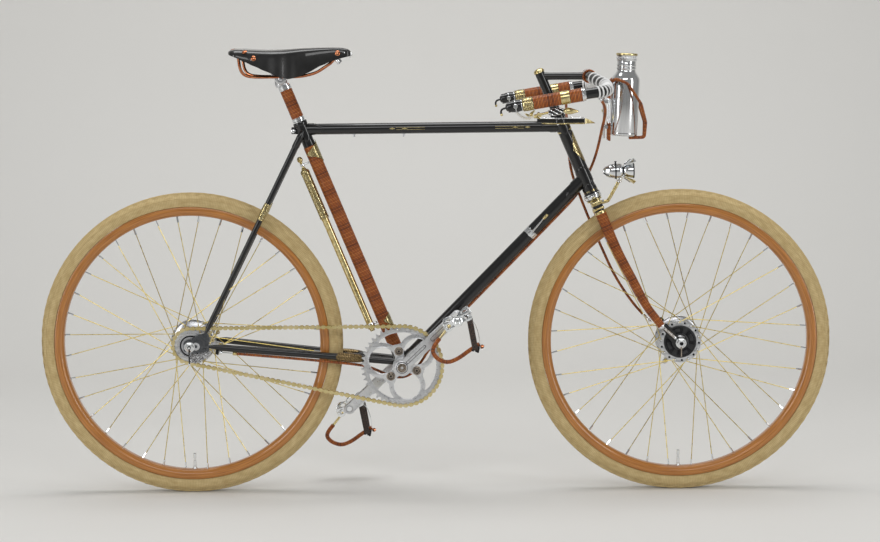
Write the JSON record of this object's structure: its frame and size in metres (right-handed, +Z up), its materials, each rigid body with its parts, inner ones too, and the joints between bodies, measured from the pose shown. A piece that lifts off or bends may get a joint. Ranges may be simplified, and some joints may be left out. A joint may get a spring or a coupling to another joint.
{
  "type": "bicycle",
  "caption": "Upright city bicycle: diamond frame, hub brakes, chain drive, leather-wrapped tubes, wooden rims, saddle, lamp and bottle.",
  "frame": {"origin": "on top of the saddle, in the middle plane, where the rider sits", "axes": "+X forward, the way it rolls; +Y to the rider's left; +Z up, square to the ground that both tyres touch"},
  "size_m": [1.8392, 0.49, 1.0368],
  "materials": {
    "alloy": "polished",
    "black_lacquer": "gloss",
    "brass": "polished",
    "chain_gold": "satin",
    "chrome": "polished",
    "copper": "polished",
    "leather_black": "gloss",
    "leather_tan": "satin",
    "rim_wood": "varnished",
    "spoke_gold": "polished",
    "tyre_cream": "matt"
  },
  "bodies": {
    "frame": {"seat_tube": "black_lacquer", "head_tube": "black_lacquer", "top_tube": "black_lacquer", "down_tube": "black_lacquer", "bottom_bracket_shell": "black_lacquer", "seat_stays": "black_lacquer", "chain_stays": "black_lacquer", "rear_dropouts": "black_lacquer", "rear_axle": "chrome", "rear_brake_plate": "alloy", "seat_post": "chrome", "seat_clamp": "chrome", "saddle_rails": "copper", "saddle_top": "leather_black", "seat_leather": "leather_tan", "pump": "brass", "gear_shifter": "chrome", "head_plate": "black_lacquer", "chain": "chain_gold", "rear_cable": "leather_tan"},
    "steering": {"fork_blades": "black_lacquer", "fork_leather": "leather_tan", "fork_crown": "black_lacquer", "headset_nut": "chrome", "stem": "black_lacquer", "handlebar": "black_lacquer", "grips": "leather_tan", "brake_levers": "brass", "bottle": "chrome", "bottle_cap": "chrome", "bottle_strap": "chrome", "bottle_cage": "leather_tan", "headlamp": "chrome", "front_axle": "chrome", "front_brake_plate": "alloy", "front_cable": "leather_tan"},
    "front_wheel": {"front_tyre": "tyre_cream", "front_rim": "rim_wood", "front_hub": "alloy", "front_spokes": "spoke_gold"},
    "rear_wheel": {"rear_tyre": "tyre_cream", "rear_rim": "rim_wood", "rear_hub": "alloy", "rear_spokes": "spoke_gold"},
    "crankset": {"chainring": "alloy", "right_crank": "alloy", "left_crank": "alloy"},
    "sprocket": {"sprocket": "chrome"},
    "right_pedal": {"right_pedal": "chrome", "right_toe_clip": "leather_tan"},
    "left_pedal": {"left_pedal": "chrome", "left_toe_clip": "leather_tan"}
  },
  "joints": [
    {"name": "steering_turn", "type": "hinge", "parent": "frame", "child": "steering", "pos_m": [0.65738, 0, -0.177], "axis": [-0.3955, 0, 0.9184], "range_deg": [-45, 45], "deforming": ["front_cable", "rear_cable"]},
    {"name": "front_wheel_spin", "type": "hinge", "parent": "steering", "child": "front_wheel", "pos_m": [0.9304, 0, -0.682], "axis": [0, 1, 0], "continuous": true},
    {"name": "rear_wheel_spin", "type": "hinge", "parent": "frame", "child": "rear_wheel", "pos_m": [-0.205, 0, -0.682], "axis": [0, 1, 0], "continuous": true},
    {"name": "crank_turn", "type": "hinge", "parent": "frame", "child": "crankset", "pos_m": [0.285, 0, -0.7325], "axis": [0, 1, 0], "continuous": true},
    {"name": "sprocket_turn", "type": "hinge", "parent": "frame", "child": "sprocket", "pos_m": [-0.205, -0.046, -0.682], "axis": [0, 1, 0], "continuous": true},
    {"name": "right_pedal_turn", "type": "hinge", "parent": "crankset", "child": "right_pedal", "pos_m": [0.41299, -0.12, -0.61315], "axis": [0, 1, 0], "continuous": true},
    {"name": "left_pedal_turn", "type": "hinge", "parent": "crankset", "child": "left_pedal", "pos_m": [0.15701, 0.12, -0.85185], "axis": [0, 1, 0], "continuous": true}
  ],
  "couplings": [
    {"joint": "sprocket_turn", "follows": "crank_turn", "ratio": 2.3}
  ]
}
